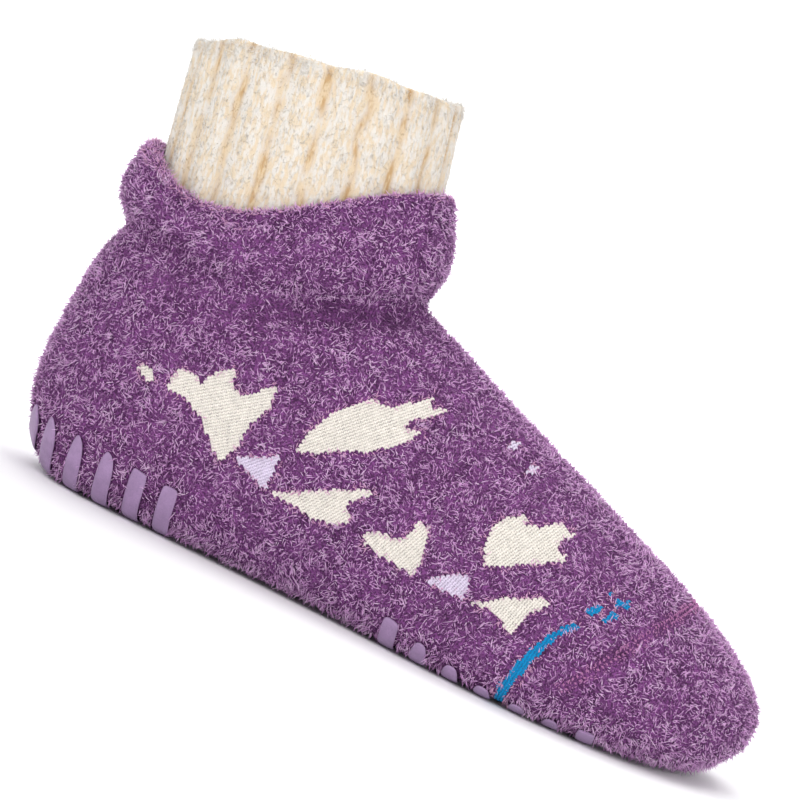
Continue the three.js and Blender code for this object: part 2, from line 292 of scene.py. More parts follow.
def triangle_corners(mesh):
    mesh.calc_loop_triangles()
    corners = np.empty(len(mesh.loop_triangles) * 3, dtype=np.int32)
    mesh.loop_triangles.foreach_get("vertices", corners)
    return corners.reshape(-1, 3)


def away_from_spine(points):
    """From the nearest point of the spine out to each point."""
    best = np.full(len(points), np.inf)
    out = np.zeros_like(points)
    for start, end in zip(SPINE, SPINE[1:]):
        start, end = np.array(start), np.array(end)
        along = end - start
        share = np.clip((points - start) @ along / (along @ along), 0, 1)
        offset = points - start - share[:, None] * along
        distance = np.linalg.norm(offset, axis=1)
        nearer = distance < best
        best[nearer] = distance[nearer]
        out[nearer] = offset[nearer]
    return out


def unit(vectors):
    return vectors / np.maximum(np.linalg.norm(vectors, axis=-1, keepdims=True), 1e-9)


def scatter_roots(mesh, count, rng, weigh):
    """Random points with normals, as dense on each face as weigh(centres, normals) says."""
    points, normals = vertex_arrays(mesh)
    corners = triangle_corners(mesh)
    a, b, c = (points[corners[:, i]] for i in range(3))
    cross = np.cross(b - a, c - a)
    centres = (a + b + c) / 3
    area = np.linalg.norm(cross, axis=1) * weigh(centres, unit(cross))
    chosen = rng.choice(len(area), count, p=area / area.sum())
    u, v = rng.random((2, count))
    turned = u + v > 1
    u[turned], v[turned] = 1 - u[turned], 1 - v[turned]
    shares = np.stack([1 - u - v, u, v], axis=1)[:, :, None]
    picked = corners[chosen]
    return (points[picked] * shares).sum(axis=1), unit((normals[picked] * shares).sum(axis=1))


def inside(outline, x, z):
    """Which of the places x, z lie inside a closed outline."""
    hit = np.zeros(len(x), dtype=bool)
    for (x0, z0), (x1, z1) in zip(outline, outline[1:] + outline[:1]):
        crosses = (z0 > z) != (z1 > z)
        hit ^= crosses & (x < x0 + (z - z0) * (x1 - x0) / (z1 - z0 + 1e-12))
    return hit


def ribbon(middle):
    """Outline of a band along x, z, width points."""
    left, right = [], []
    for i, (x, z, width) in enumerate(middle):
        before, after = middle[max(i - 1, 0)], middle[min(i + 1, len(middle) - 1)]
        along = Vector((after[0] - before[0], after[1] - before[1])).normalized()
        side = Vector((-along.y, along.x)) * width / 2
        left.append(place(x + side.x, z + side.y))
        right.append(place(x - side.x, z - side.y))
    return left + right[::-1]


def charted(yarn):
    """Outline, centre and wale turn of each motif in one yarn, in metres along and up the frame."""
    shapes = []
    if yarn == "turquoise":
        for middle in [STRIPE, *DASHES]:
            outline = ribbon(middle)
            shapes.append((outline, np.mean(outline, axis=0), STRIPE_TURN))
    for row in MOTIFS.values():
        motif = dict(zip(MOTIF_COLUMNS, row))
        if motif["yarn"] == yarn:
            outline = [place(motif["x"] + x, motif["z"] + z) for x, z in motif["outline"]]
            shapes.append((outline, np.array(place(motif["x"], motif["z"])), motif["turn"]))
    return shapes


def on_motif(points, normals, shift=(0.0, 0.0)):
    """Which surface points lie on a motif of either side."""
    hit = np.zeros(len(points), dtype=bool)
    for yarn in ("cream", "lilac", "turquoise"):
        for outline, _, _ in charted(yarn):
            hit |= inside(outline, points[:, 0] + shift[0], points[:, 2] + shift[1])
    return hit & (np.abs(normals[:, 1]) > 0.2)


def seam_frame():
    """A point on the toe seam's plane, the way up in it, and its normal."""
    low, top = place(*SEAM_LOW), place(*SEAM_TOP)
    start = Vector((low[0], 0, low[1]))
    up = (Vector((top[0], 0, top[1])) - start).normalized()
    return start, up, up.cross(Vector((0, 1, 0)))


def seam_distance(points):
    """Signed distance from the toe seam's plane, far away under its low end."""
    start, _, normal = seam_frame()
    distance = (points - np.array(start)) @ np.array(normal)
    distance[points[:, 2] < start.z] = 1
    return distance


# Where the pile's palette holds the darkest fibres outside a crease, below which lies the painted crease
# shade, and those over a motif's edge and along the toe seam
PLAIN_SHADE = 0.14
EDGE_SHADE = 0.88
SEAM_SHADE = 0.98

# Share of a fibre's length where it bends
FIBRE_BEND = 0.45

# Start of the vector noise, which otherwise follows the clock
LAY_SEED = 41

# Small repeated shapes


def fibre_template():
    """A closed three-sided fibre of unit length, pointed at both ends and of unit radius at its bend."""
    bm = bmesh.new()
    bmesh.ops.create_uvsphere(bm, u_segments=3, v_segments=2, radius=1)
    for vert in bm.verts:
        vert.co.z = FIBRE_BEND + vert.co.z * (1 - FIBRE_BEND if vert.co.z > 0 else FIBRE_BEND)
    return template_arrays(bm)


def stitch_template():
    """One leg of a knitted stitch, a small closed lens of unit half length."""
    bm = bmesh.new()
    bmesh.ops.create_uvsphere(bm, u_segments=4, v_segments=2, radius=1)
    return template_arrays(bm)


def template_arrays(bm):
    bm.verts.ensure_lookup_table()
    points = np.array([vert.co[:] for vert in bm.verts])
    faces = [[vert.index for vert in face.verts] for face in bm.faces]
    bm.free()
    return points, faces


def placed(template, centre, *axes):
    """The template's points round a centre, along three scaled axes."""
    return np.array(centre) + template @ np.array(axes)


def joined_mesh(name, points, faces, uv=None):
    """One mesh from the points of every copy of a shape, the faces of one copy, and a palette UV."""
    copies, count, _ = points.shape
    corners = np.concatenate([np.array(face) for face in faces])
    starts = np.cumsum([0] + [len(face) for face in faces[:-1]])
    copy = np.arange(copies)[:, None]
    mesh = bpy.data.meshes.new(name)
    mesh.vertices.add(copies * count)
    mesh.vertices.foreach_set("co", points.astype(np.float32).ravel())
    mesh.loops.add(copies * len(corners))
    mesh.loops.foreach_set("vertex_index", (corners + copy * count).astype(np.int32).ravel())
    mesh.polygons.add(copies * len(faces))
    mesh.polygons.foreach_set("loop_start", (starts + copy * len(corners)).astype(np.int32).ravel())
    mesh.update(calc_edges=True)
    if uv is not None:
        layer = mesh.uv_layers.new(name="OFBake")
        layer.data.foreach_set("uv", uv[:, corners].astype(np.float32).ravel())
    mesh.shade_smooth()
    return mesh


def grow(roots, ways, bends, lengths, widths, shades, rng, floor=0.0):
    """A fibre along each way, bent towards bends, with a palette UV of shade and height."""
    unit_points, faces = fibre_template()
    across = unit(np.cross(ways, rng.normal(size=ways.shape)))
    other = np.cross(ways, across)
    height = unit_points[:, 2]
    points = roots[:, None] + lengths[:, None, None] * (
        height[None, :, None] * ways[:, None] + (height**2)[None, :, None] * bends[:, None]
    )
    radius = (widths / 2)[:, None, None]
    points = points + radius * (
        unit_points[None, :, 0, None] * across[:, None] + unit_points[None, :, 1, None] * other[:, None]
    )
    points[:, :, 2] = np.maximum(points[:, :, 2], floor)
    uv = np.empty((len(roots), len(unit_points), 2))
    uv[:, :, 0] = shades[:, None] + 0.012 * unit_points[None, :, 0]
    uv[:, :, 1] = 0.02 + 0.95 * height[None, :] + 0.01 * unit_points[None, :, 1]
    return points, faces, np.clip(uv, 0.002, 0.998)


def lay_of(points, spacing):
    """A soft direction for each point that changes over the given distance."""
    noise.seed_set(LAY_SEED)
    return np.array([noise.noise_vector(Vector(point) / spacing)[:] for point in points])


def mottle(points, spacing):
    return np.array([noise.noise(Vector(point) / spacing) for point in points])


# Materials


class Shader:
    """A principled material and short ways to wire its nodes."""

    def __init__(self, name, roughness, shine=0.2, sheen=0.0, sheen_tint=(1, 1, 1)):
        self.material = bpy.data.materials.new(name)
        self.material.use_nodes = True
        self.tree = self.material.node_tree
        self.principled = self.tree.nodes["Principled BSDF"]
        self.principled.inputs["Roughness"].default_value = roughness
        self.principled.inputs["Specular IOR Level"].default_value = shine
        self.principled.inputs["Sheen Weight"].default_value = sheen
        self.principled.inputs["Sheen Roughness"].default_value = 0.5
        self.principled.inputs["Sheen Tint"].default_value = (*sheen_tint, 1)

    def node(self, kind, settings=None, **inputs):
        made = self.tree.nodes.new(kind)
        for key, value in (settings or {}).items():
            setattr(made, key, value)
        for key, value in inputs.items():
            self.join(value, made.inputs[key.replace("_", " ")])
        return made

    def join(self, value, socket):
        if isinstance(value, bpy.types.NodeSocket):
            self.tree.links.new(value, socket)
        else:
            socket.default_value = value

    def object_place(self):
        return self.node("ShaderNodeTexCoord").outputs["Object"]

    def uv(self, name):
        place_in_uv = self.node("ShaderNodeUVMap", {"uv_map": name}).outputs["UV"]
        return self.node("ShaderNodeSeparateXYZ", Vector=place_in_uv)

    def attribute(self, name):
        return self.node("ShaderNodeAttribute", {"attribute_name": name}).outputs["Fac"]

    def along_leg(self, stretch):
        """The object's place, drawn out along the leg."""
        made = self.node("ShaderNodeMapping", {"vector_type": "TEXTURE"}, Vector=self.object_place())
        made.inputs["Rotation"].default_value = (0, -LEG_LEAN, 0)
        made.inputs["Scale"].default_value = (1, 1, stretch)
        return made.outputs["Vector"]

    def noise(self, scale, detail=3.0, where=None):
        made = self.node("ShaderNodeTexNoise", Vector=where or self.object_place(), Scale=scale)
        made.inputs["Detail"].default_value = detail
        return made.outputs["Fac"]

    def ramp(self, value, *stops):
        """A colour ramp from (place, colour) stops."""
        made = self.node("ShaderNodeValToRGB", Fac=value)
        elements = made.color_ramp.elements
        while len(elements) < len(stops):
            elements.new(0.5)
        for element, (position, colour) in zip(elements, stops):
            element.position = position
            element.color = (*colour, 1)
        return made.outputs["Color"]

    def mix(self, factor, first, second, blend="MIX"):
        made = self.node("ShaderNodeMix", {"data_type": "RGBA", "blend_type": blend})
        self.join(factor, made.inputs["Factor"])
        for socket, value in zip([made.inputs[6], made.inputs[7]], [first, second]):
            self.join(value if isinstance(value, bpy.types.NodeSocket) else (*value, 1), socket)
        return made.outputs[2]

    def colour(self, value):
        self.join(value, self.principled.inputs["Base Color"])

    def bump(self, height, strength, distance):
        made = self.node("ShaderNodeBump", Height=height, Strength=strength, Distance=distance)
        self.join(made.outputs["Normal"], self.principled.inputs["Normal"])


def grey(value):
    return (value, value, value)


def ground_material():
    """Knit at the roots of the pile, darkened as painted shade, with a broad random mottle and fine dark
    specks painted as shadow between fibres.
    """
    shader = Shader("plush_ground", 0.95)
    base = colours().ground
    broad = shader.noise(180, 2)
    mottled = shader.ramp(broad, (0.3, [c * 0.7 for c in base]), (0.7, [c * 1.3 for c in base]))
    # Fine dark specks, painted as shadow between the fibres
    fine = shader.ramp(shader.noise(1900, 2), (0.38, grey(0.3)), (0.62, grey(1.0)))
    shader.colour(shader.mix(1.0, mottled, fine, "MULTIPLY"))
    shader.bump(shader.noise(1500, 4), 0.9, 0.0008)
    return shader.material


def pile_material():
    """Fibres from the palette UV: tone across, with painted crease shade at its low end, and root to tip
    upwards.
    """
    shader = Shader("plush_pile", 0.85, sheen=0.08, sheen_tint=(1.0, 0.7, 1.0))
    palette = shader.uv("OFBake")
    tone = colours()
    # Low end of the palette: painted shade for fibres deep in a crease
    tips = shader.ramp(
        palette.outputs["X"],
        (0.0, tone.pile_fold_shade),
        (PLAIN_SHADE, tone.pile_shade),
        (0.4, tone.pile),
        (0.78, tone.pile_light),
        (EDGE_SHADE, tone.pile_edge),
        (SEAM_SHADE, tone.seam_pile),
    )
    # Painted shade: every fibre darker toward its root, as shade deep inside the pile
    depth = shader.ramp(palette.outputs["Y"], (0.0, grey(0.12)), (0.5, grey(0.62)), (1.0, grey(1.0)))
    shader.colour(shader.mix(1.0, tips, depth, "MULTIPLY"))
    return shader.material


def yarn_material(name, colour):
    """Plied yarn: soft strands and darker gaps painted as shade between them, from noise in the object's own
    place.
    """
    shader = Shader(name, 0.9, sheen=0.04)
    soft = shader.ramp(shader.noise(700, 3), (0.3, [c * 0.84 for c in colour]), (0.7, colour))
    # Darker gaps between the strands: painted shade
    strands = shader.ramp(shader.noise(4200, 2), (0.35, grey(0.86)), (0.65, grey(1.0)))
    shader.colour(shader.mix(1.0, soft, strands, "MULTIPLY"))
    shader.bump(shader.noise(5200, 2), 0.5, 0.0002)
    return shader.material


def soften(shader, weight):
    """Lets some light through pale wool."""
    shader.principled.inputs["Subsurface Weight"].default_value = weight
    shader.principled.inputs["Subsurface Radius"].default_value = (1.0, 0.85, 0.7)
    shader.principled.inputs["Subsurface Scale"].default_value = 2 * MM


def cuff_material():
    """Cream ribs with warmer grooves, painted darker as shade in them, and a brushed, felted face."""
    shader = Shader("ribbed_knit", 0.92, sheen=0.1)
    tone = colours()
    # Grooves: warm tint with painted shade
    ribs = shader.ramp(shader.attribute("groove"), (0.0, tone.rib), (1.0, tone.groove))
    streaks = shader.noise(900, 4, shader.along_leg(3.5))
    felted = shader.mix(shader.ramp(streaks, (0.42, grey(0.8)), (0.56, grey(0.0))), ribs, tone.rib_warm)
    flecks = shader.ramp(shader.noise(2600, 2), (0.35, grey(0.96)), (0.6, grey(1.0)))
    shader.colour(shader.mix(1.0, felted, flecks, "MULTIPLY"))
    shader.bump(shader.noise(1300, 4, shader.along_leg(2)), 0.3, 0.0006)
    soften(shader, 0.4)
    return shader.material


def wool_material():
    """Cuff fibres from the palette UV: groove to crest to bluish rim across, the groove end a warm tint with
    painted shade and the rim end painted cool shade, root to tip upwards with painted shade at the roots.
    """
    shader = Shader("cuff_wool", 0.85, sheen=0.1)
    palette = shader.uv("OFBake")
    tone = colours()
    # Groove end: warm tint with painted shade; rim end: painted cool shade
    tips = shader.ramp(
        palette.outputs["X"], (0.0, tone.groove), (0.45, tone.rib), (0.8, tone.rib_light), (1.0, tone.rim)
    )
    # Painted shade: roots slightly darker and warmer, deep in the wool
    depth = shader.ramp(palette.outputs["Y"], (0.0, (0.97, 0.93, 0.87)), (0.5, grey(1.0)))
    shader.colour(shader.mix(1.0, tips, depth, "MULTIPLY"))
    soften(shader, 0.5)
    return shader.material


def grip_material():
    """Satin rubber with a fine grain and darker and paler clouds."""
    shader = Shader("grip_rubber", 0.5, shine=0.5)
    base = colours().grip
    darker, paler = [c * 0.86 for c in base], [c * 1.12 for c in base]
    clouds = shader.ramp(shader.noise(220, 3), (0.3, darker), (0.7, paler))
    grain = shader.ramp(shader.noise(1 / sizes().grip_grain, 2), (0.3, grey(0.88)), (0.7, grey(1.0)))
    shader.colour(shader.mix(1.0, clouds, grain, "MULTIPLY"))
    shader.bump(shader.noise(1 / sizes().grip_grain, 3), 0.35, 0.0002)
    return shader.material


def backdrop_material():
    shader = Shader("studio_paper", 0.9)
    base = colours().backdrop
    shader.colour(shader.ramp(shader.noise(3, 2), (0.3, [c * 0.985 for c in base]), (0.7, base)))
    return shader.material


# Pieces


def crease_heights(points, normals):
    """How far the charted creases move each surface point out, in metres."""
    moved = np.zeros(len(points))
    for row in CREASES:
        crease = dict(zip(CREASE_COLUMNS, row))
        start, end = np.array(place(*crease["start"])), np.array(place(*crease["end"]))
        flat = points[:, [0, 2]]
        along = end - start
        share = np.clip((flat - start) @ along / (along @ along), 0, 1)
        distance = np.linalg.norm(flat - start - share[:, None] * along, axis=1)
        fade = np.sin(np.pi * np.clip(0.15 + 0.7 * share, 0, 1))
        on_side = np.clip(normals[:, 1] * crease["side"] * 3, 0, 1)
        moved += crease["depth"] * MM * fade * on_side * np.exp(-((distance / (crease["width"] * MM)) ** 2))
    return moved


def press_creases(mesh):
    """Moves the outer knit in and out along the charted creases."""
    points, normals = vertex_arrays(mesh)
    outer = (normals * away_from_spine(points)).sum(axis=1) > 0
    points += (crease_heights(points, normals) * outer)[:, None] * normals
    mesh.vertices.foreach_set("co", points.astype(np.float32).ravel())
    mesh.update()


class SOCK_OT_ground(bpy.types.Operator):
    """Makes the knitted body that the pile grows from"""

    bl_idname = "sock.ground"
    bl_label = "Knitted Ground"

    def execute(self, context):
        mesh = smooth_copy("knit_body", "knitted_ground", 1)
        press_creases(mesh)
        add_piece("knitted_ground", mesh, ground_material(), ["knit_body"])
        return {"FINISHED"}


def surface_hit(tree, x, z, side):
    """The outer surface at a place of the chart, on the outer (-1) or inner (1) side."""
    origin = Vector((x, 0.09 * side, z))
    return tree.ray_cast(origin, Vector((0, -side, 0)), 0.09)[:2]


def stitch_frames(tree, outline, centre, turn, side):
    """Place and axes of every stitch inside an outline, stretched to follow the surface."""
    wale = np.array([math.cos(math.radians(turn)), math.sin(math.radians(turn))])
    course = np.array([-wale[1], wale[0]])
    reach = max(np.linalg.norm(np.array(point) - centre) for point in outline)
    columns = int(reach / sizes().wale) + 2
    rows = int(reach / sizes().course) + 2
    grid = [(i, j) for i in range(-columns, columns + 1) for j in range(-rows, rows + 1)]
    places = np.array([centre + i * sizes().wale * course + j * sizes().course * wale for i, j in grid])
    kept = places[inside(outline, places[:, 0], places[:, 1])]
    frames = []
    for x, z in kept:
        hit, normal = surface_hit(tree, x, z, side)
        if hit is None or abs(normal.y) < 0.2:
            continue

        def on_surface(direction):
            flat = Vector((direction[0], 0, direction[1]))
            return flat - Vector((0, normal.dot(flat) / normal.y, 0))

        frames.append((hit, on_surface(wale), on_surface(course), normal))
    return frames


def knitted_patch(name, yarn, rng):
    """Both legs of every stitch of one yarn, joined in one mesh."""
    tree = ground_tree()
    template, faces = stitch_template()
    copies = []
    for outline, centre, turn in charted(yarn):
        for side in (-1, 1):
            for hit, wale, course, normal in stitch_frames(tree, outline, centre, turn, side):
                for hand in (-1, 1):
                    lean = math.radians(24) * hand + rng.normal(0, 0.06)
                    along = math.cos(lean) * wale + math.sin(lean) * course
                    across = math.cos(lean) * course - math.sin(lean) * wale
                    middle = hit + hand * 0.25 * sizes().wale * course + 0.1 * MM * normal
                    size = rng.normal(1, 0.05)
                    along *= 0.85 * sizes().course * size
                    across *= 0.34 * sizes().wale * size
                    copies.append(placed(template, middle, along, across, 0.3 * MM * normal))
    if not copies:
        raise RuntimeError(f"no stitch of {yarn} lies on the sock")
    return joined_mesh(name, np.array(copies), faces)


def ground_tree():
    ground = required("knitted_ground").data
    points, _ = vertex_arrays(ground)
    return BVHTree.FromPolygons(points.tolist(), triangle_corners(ground).tolist())


class SOCK_OT_motifs(bpy.types.Operator):
    """Knits the light motifs and the toe stripe into the ground, stitch by stitch"""

    bl_idname = "sock.motifs"
    bl_label = "Motifs and Stripe"

    def execute(self, context):
        rng = np.random.default_rng(11)
        for yarn in ("cream", "lilac", "turquoise"):
            name = yarn + "_stitches"
            material = yarn_material(yarn + "_yarn", getattr(colours(), yarn))
            add_piece(name, knitted_patch(name, yarn, rng), material)
        return {"FINISHED"}


class SOCK_OT_toe_seam(bpy.types.Operator):
    """Links the toe with a row of small paired loops"""

    bl_idname = "sock.toe_seam"
    bl_label = "Toe Seam"

    def execute(self, context):
        rng = np.random.default_rng(12)
        tree = ground_tree()
        template, faces = stitch_template()
        start, up, normal = seam_frame()
        middle = Vector((start.x, 0, start.z)) + 0.35 * (place(*SEAM_TOP)[1] - start.z) * up
        path = []
        for turn in np.linspace(-math.pi, math.pi, 1200):
            way = math.cos(turn) * up + math.sin(turn) * Vector((0, 1, 0))
            hit, face = tree.ray_cast(middle + 0.1 * way, -way, 0.1)[:2]
            if hit is not None and hit.z > start.z:
                path.append((hit, face))
        copies = []
        last = None
        for hit, face in path:
            if last is not None and (hit - last).length < SEAM_SPACING:
                continue
            along = (hit - last).normalized() if last is not None else Vector((0, 1, 0))
            last = hit
            for hand in (-1, 1):
                if rng.random() < 0.15:
                    continue
                lean = math.radians(30) * hand + rng.normal(0, 0.25)
                way = math.cos(lean) * normal * hand + math.sin(lean) * along * hand
                centre = hit + normal * hand * 0.7 * MM + face * 0.45 * MM
                side = way.cross(face).normalized()
                length = rng.uniform(0.5, 0.7) * MM
                copies.append(placed(template, centre, length * way, 0.36 * MM * side, 0.34 * MM * face))
        if not copies:
            raise RuntimeError("the toe seam misses the sock")
        mesh = joined_mesh("toe_seam", np.array(copies), faces)
        add_piece("toe_seam", mesh, yarn_material("seam_thread", colours().seam))
        return {"FINISHED"}


def pile_roots(ground, count, rng):
    """Roots of the pile: on the outer knit, thicker on the lip, off the motifs and the grip bars."""

    def weigh(centres, normals):
        outer = (normals * away_from_spine(centres)).sum(axis=1) > 0
        low = centres[:, 2] < SOLE_EDGE
        share = np.select([low & (normals[:, 2] < SOLE_FACING), low], [0.5, 1.5], 1.0)
        return np.where(on_lip(centres, normals), 2.5, outer * share)

    roots, normals = scatter_roots(ground, count, rng, weigh)
    overlap = 0.5 * MM
    bare = under_grips(roots, normals)
    bare |= (np.abs(seam_distance(roots)) < 0.4 * sizes().seam_band) & (rng.random(count) < 0.5)
    shifts = [(overlap, 0), (-overlap, 0), (0, overlap), (0, -overlap)]
    bare |= np.all([on_motif(roots, normals, shift) for shift in shifts], axis=0)
    return roots[~bare], normals[~bare]


def on_lip(points, normals):
    """Which places lie on the collar's lip, where the knit turns in over the cuff."""
    return (normals @ np.array(LEG_UP) > 0.55) & (points[:, 2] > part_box("rib_cuff")[0][2] + 5 * MM)


def grip_nodes():
    return [
        f"{place_name}_grip_{i + 1}"
        for place_name, count in (("heel", HEEL_GRIPS), ("ball", BALL_GRIPS))
        for i in range(count)
    ]


def under_grips(points, normals):
    """Which surface points have a grip bar right over them."""
    corners, faces = [], []
    for node in grip_nodes():
        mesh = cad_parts[node].data
        faces += (triangle_corners(mesh) + sum(len(part) for part in corners)).tolist()
        corners.append(vertex_arrays(mesh)[0])
    tree = BVHTree.FromPolygons(np.concatenate(corners).tolist(), faces)
    hit = np.zeros(len(points), dtype=bool)
    for i in np.flatnonzero(points[:, 2] < 0.03):
        hit[i] = tree.ray_cast(Vector(points[i]), Vector(normals[i]), 2 * MM)[0] is not None
    return hit


def near_motif(roots, normals):
    """Which roots have a motif within a fibre's reach."""
    reach = 1.1 * MM
    shifts = [(reach, 0), (-reach, 0), (0, reach), (0, -reach)]
    return np.any([on_motif(roots, normals, shift) for shift in shifts], axis=0)


def pile_group(roots, normals, rng):
    """The pile's fibres from their roots, as joined_mesh takes them."""
    size = sizes()
    total = len(roots)
    lip = on_lip(roots, normals)
    under = (roots[:, 2] < SOLE_EDGE / 2) & (normals[:, 2] < SOLE_FACING)
    lay = lay_of(roots, size.pile_tufts) * 1.3 + lay_of(roots, size.pile_tufts * 0.3) * 1.1
    lay = lay + rng.normal(0, 0.5, (total, 3)) + np.array([0.05, 0, -0.12])
    lay -= (lay * normals).sum(axis=1, keepdims=True) * normals
    lay /= np.maximum(np.linalg.norm(lay, axis=1, keepdims=True), 0.9)
    tuft = mottle(roots, size.pile_tufts * 0.8)
    clump = mottle(roots, size.pile_clumps)
    seam = np.abs(seam_distance(roots)) < size.seam_band
    fold = np.minimum(crease_heights(roots, normals), 0) / MM
    edge = near_motif(roots, normals)
    lengths = size.pile_length * (1 + 0.2 * tuft + 0.5 * clump) * rng.uniform(0.6, 1.25, total)
    lengths *= np.where(seam, 0.55, 1) * (1 - 0.25 * under) * (1 - 0.2 * edge) * (1 + 0.04 * fold)
    hem = np.clip(1.5 - roots[:, 2] / HEM_HEIGHT, 0, 1) * (normals[:, 2] > SOLE_FACING)
    lay[:, 2] -= hem
    rise = rng.uniform(0.5, 1.3, total) * (1 - 0.5 * under) * (1 - 0.4 * hem)
    ways = unit(normals * rise[:, None] + lay * 0.8)
    bends = lay * 0.35 - normals * 0.2 + rng.normal(0, 0.35, (total, 3))
    widths = size.pile_width * rng.uniform(0.7, 1.25, total)
    # Tufts and clumps vary the tone at random, and the fibres they leave shorter are painted darker, as shade
    # in the hollows between clumps
    shades = 0.38 + 0.2 * tuft + 0.5 * clump + rng.normal(0, 0.16, total)
    # Fibres deep in a crease are painted darker, as shade, toward the fold colour
    shades = np.maximum(np.clip(shades, PLAIN_SHADE, 0.78) + 0.07 * fold, 0.02)
    blushed = edge | (lip & (rng.random(total) < 0.35))
    shades = np.where(blushed, EDGE_SHADE + rng.normal(0, 0.02, total), shades)
    shades = np.where(seam, SEAM_SHADE, shades)
    return grow(roots - 0.25 * MM * normals, ways, bends, lengths, widths, shades, rng, 0.05 * MM)


class SOCK_OT_pile(bpy.types.Operator):
    """Grows the plush in four lengths of the sock"""

    bl_idname = "sock.pile"
    bl_label = "Plush Pile"

    def execute(self, context):
        rng = np.random.default_rng(21)
        roots, normals = pile_roots(required("knitted_ground").data, sizes().pile_fibres, rng)
        points, faces, uv = pile_group(roots, normals, rng)
        material = pile_material()
        names = ["pile_heel", "pile_leg", "pile_instep", "pile_toe"]
        cuts = np.quantile(roots[:, 0], [0.25, 0.5, 0.75])
        for index, name in enumerate(names):
            part = np.searchsorted(cuts, roots[:, 0]) == index
            add_piece(name, joined_mesh(name, points[part], faces, uv[part]), material)
        return {"FINISHED"}


def rib_wave(points):
    """Where each point of the cuff lies from a rib's crest, 0, to the groove, 1, with a slight wobble."""
    offset = points - np.array(RIM)
    forward = offset @ np.array(LEG_FORWARD)
    angle = np.arctan2(offset[:, 1] / CUFF_HALF_WIDTH, forward / CUFF_HALF_DEPTH)
    angle += 0.035 * mottle(points, 9 * MM)
    return 0.5 - 0.5 * np.cos(RIB_COUNT * angle)


def groove_tint_and_shade(points):
    """How warm and how shaded the knit is painted: the bottom of each groove, stronger and weaker along it.
    """
    return np.clip(rib_wave(points) ** 10 * (0.75 + 1.3 * mottle(points, 6 * MM)), 0, 1)


class SOCK_OT_cuff(bpy.types.Operator):
    """Smooths the ribbed cuff and marks its grooves"""

    bl_idname = "sock.cuff"
    bl_label = "Ribbed Cuff"

    def execute(self, context):
        mesh = smooth_copy("rib_cuff", "ribbed_cuff", 2)
        points, _ = vertex_arrays(mesh)
        up = np.array(LEG_UP)
        near_rim = np.clip(1 + ((points - np.array(RIM)) @ up) / RIM_WAVE_REACH, 0, 1)
        points += (near_rim * RIM_WAVE * mottle(points, 18 * MM))[:, None] * up
        mesh.vertices.foreach_set("co", points.astype(np.float32).ravel())
        mesh.update()
        # The grooves' warm tint and painted shade, for the cuff material
        groove = mesh.attributes.new("groove", "FLOAT", "POINT")
        groove.data.foreach_set("value", groove_tint_and_shade(points).astype(np.float32))
        add_piece("ribbed_cuff", mesh, cuff_material(), ["rib_cuff"])
        return {"FINISHED"}


def wool_group(roots, normals, rng):
    """Cuff fibres, combed along the ribs, a few of them raised, and all of them at the rim."""
    size = sizes()
    total = len(roots)
    up = np.array(LEG_UP)
    height = (roots - np.array(RIM)) @ up
    rim = np.clip((height + RIM_BAND) / RIM_BAND, 0, 1)
    lay = rng.normal(0, 0.45, (total, 3)) + rng.normal(0, 1, total)[:, None] * up
    lay -= (lay * normals).sum(axis=1, keepdims=True) * normals
    raised = rng.random(total) < 0.09
    rise = np.where(raised, rng.uniform(0.3, 0.8, total), rng.uniform(0.02, 0.16, total)) + 0.6 * rim
    ways = unit(normals * rise[:, None] + lay * 0.8)
    bends = rng.normal(0, 0.35, (total, 3)) - normals * 0.05
    lengths = size.wool_length * rng.uniform(0.6, 1.2, total)
    lengths *= (1 - 0.5 * rib_wave(roots)) * (1 + 0.35 * rim)
    widths = size.wool_width * rng.uniform(0.7, 1.3, total)
    streaks = mottle(roots - 0.8 * height[:, None] * up, 1.4 * MM)
    # Fibres over the grooves take the warm tint and painted shade
    shades = 0.5 + 0.3 * streaks - 0.9 * groove_tint_and_shade(roots)
    shades = np.clip(shades + rng.normal(0, 0.12, total), 0.04, 0.8)
    # Near the rim, fibres move toward the rim colour: painted cool shade
    shades += (0.97 - shades) * rim * rng.uniform(0, 1, total)
    return grow(roots - 0.05 * MM * normals, ways, bends, lengths, widths, shades, rng)


class SOCK_OT_wool(bpy.types.Operator):
    """Brushes the cuff with fine curly wool"""

    bl_idname = "sock.wool"
    bl_label = "Cuff Wool"

    def execute(self, context):
        rng = np.random.default_rng(31)
        cuff = required("ribbed_cuff").data

        def keep(centres, normals):
            outward = centres - np.array(RIM)
            height = outward @ np.array(LEG_UP)
            outward -= height[:, None] * np.array(LEG_UP)
            outer = (normals * unit(outward)).sum(axis=1) > 0.2
            return np.where(height > -5 * MM, 1.8, outer * (1 - 0.5 * groove_tint_and_shade(centres)))

        group = wool_group(*scatter_roots(cuff, sizes().wool_fibres, rng, keep), rng)
        add_piece("cuff_wool", joined_mesh("cuff_wool", *group), wool_material())
        return {"FINISHED"}


class SOCK_OT_grips(bpy.types.Operator):
    """Rounds the rubbery bars under heel and ball"""

    bl_idname = "sock.grips"
    bl_label = "Grip Bars"

    def execute(self, context):
        material = grip_material()
        for node in grip_nodes():
            add_piece(node + "_rubber", smooth_copy(node, node + "_rubber", 2), material, [node])
        return {"FINISHED"}


def area_light(name, location, target, size, power):
    light = bpy.data.lights.new(name, "AREA")
    light.size = size
    light.energy = power
    obj = bpy.data.objects.new(name, light)
    obj.location = location
    obj.rotation_euler = (target - location).to_track_quat("-Z", "Y").to_euler()
    bpy.context.scene.collection.objects.link(obj)


